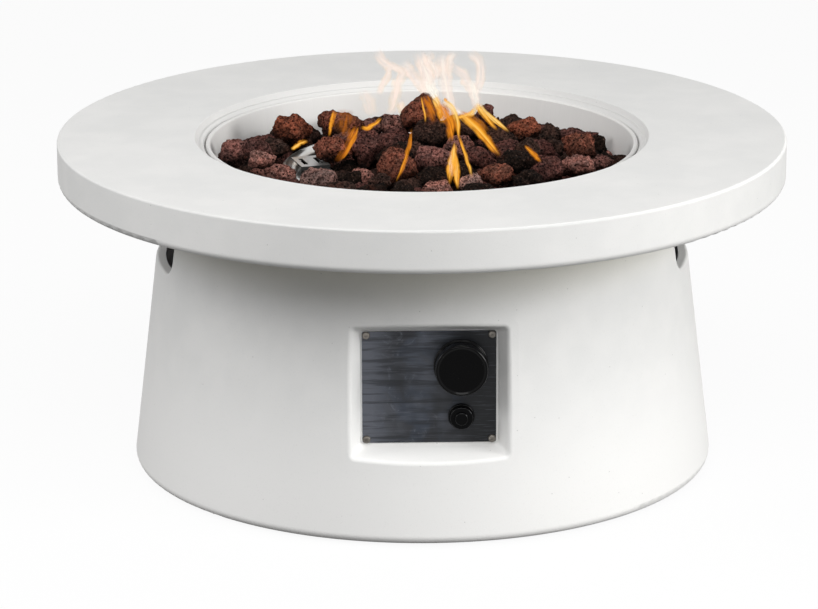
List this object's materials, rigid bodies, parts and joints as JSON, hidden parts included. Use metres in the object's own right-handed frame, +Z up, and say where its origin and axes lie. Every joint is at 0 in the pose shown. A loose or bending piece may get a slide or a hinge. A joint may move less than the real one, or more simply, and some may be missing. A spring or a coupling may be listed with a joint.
{
  "type": "fire pit table",
  "caption": "Round low gas fire pit table: thick cast top with a sunken fire bowl of lava stones on a hollow cone base with a control recess, knob and push igniter.",
  "frame": {"origin": "on the ground under the middle of the table", "axes": "+Z up, the control recess faces -Y, +X is to the right seen from the front"},
  "size_m": [0.914, 0.914, 0.4602],
  "materials": {
    "concrete": "matte cast concrete, off-white",
    "lava": "rough porous, dark red-brown to black",
    "bowl_steel": "satin stainless sheet",
    "stainless": "satin stainless",
    "dark_steel": "dark brushed steel with bluish streaks",
    "zinc": "zinc plated",
    "spring_steel": "bright spring wire",
    "brass": "machined brass",
    "copper": "copper",
    "aluminium": "die-cast or drawn aluminium",
    "galvanised": "galvanised sheet",
    "black_gloss": "glossy black",
    "black_matte": "matte black",
    "rubber": "matte black rubber",
    "silicone_white": "silicone sleeve, white",
    "silicone_green": "silicone sleeve, green",
    "ceramic": "glazed white",
    "battery_case": "dark plain sleeve"
  },
  "bodies": {
    "table": {"table_top": "concrete", "base": "concrete", "foot_pads": "rubber", "top_pads": "rubber", "top_washers": "zinc", "top_bolts": "zinc", "top_inserts": "brass", "hose_grommet": "rubber", "fire_bowl": "bowl_steel", "ring_burner": "stainless", "burner_lock_nut": "zinc", "air_mixer": "zinc", "injector_elbow": "brass", "gas_tube": "aluminium", "gas_tube_nuts": "brass", "heat_shield": "galvanised", "shield_studs": "zinc", "shield_nuts": "zinc", "lead_grommet": "rubber", "pilot_bracket": "stainless", "pilot_screws": "zinc", "pilot_nuts": "zinc", "electrode_ceramic": "ceramic", "electrode_pin": "stainless", "thermocouple": "copper", "thermocouple_lead": "copper", "spark_lead": "silicone_white", "earth_lead": "silicone_green", "control_panel": "dark_steel", "panel_screws": "zinc", "panel_inserts": "brass", "valve_screws": "zinc", "valve_bonnet": "zinc", "valve_body": "aluminium", "valve_back_cap": "zinc", "spindle_spring": "spring_steel", "safety_magnet": "brass", "outlet_fitting": "brass", "inlet_fitting": "brass", "igniter_body": "black_matte", "igniter_nut": "black_matte", "igniter_bezel": "black_gloss", "igniter_spring": "spring_steel", "igniter_battery": "battery_case", "battery_contact": "spring_steel", "lava_stones_floor": "lava", "lava_stones_middle": "lava", "lava_stones_top": "lava", "lava_stones_fill": "lava"},
    "push_stem": {"thrust_washer": "zinc"},
    "knob": {"control_knob": "black_gloss", "valve_spindle": "stainless"},
    "plug": {"valve_plug": "brass"},
    "button": {"igniter_button": "black_gloss"}
  },
  "joints": [
    {"name": "knob_push", "type": "slide", "parent": "table", "child": "push_stem", "axis": [0, 1, 0], "range_m": [0, 0.004], "stiffness_N_per_m": 1500, "springref_m": -0.004, "deforming": ["spindle_spring"]},
    {"name": "knob_turn", "type": "hinge", "parent": "push_stem", "child": "knob", "pos_m": [0.038, -0.33007, 0.2135], "axis": [0, -1, 0], "range_deg": [0, 180]},
    {"name": "plug_turn", "type": "hinge", "parent": "table", "child": "plug", "pos_m": [0.038, -0.27007, 0.2135], "axis": [0, -1, 0], "range_deg": [0, 180]},
    {"name": "igniter_push", "type": "slide", "parent": "table", "child": "button", "axis": [0, 1, 0], "range_m": [0, 0.004], "stiffness_N_per_m": 800, "springref_m": -0.004, "deforming": ["igniter_spring"]}
  ],
  "couplings": [
    {"joint": "plug_turn", "follows": "knob_turn", "ratio": 1}
  ]
}
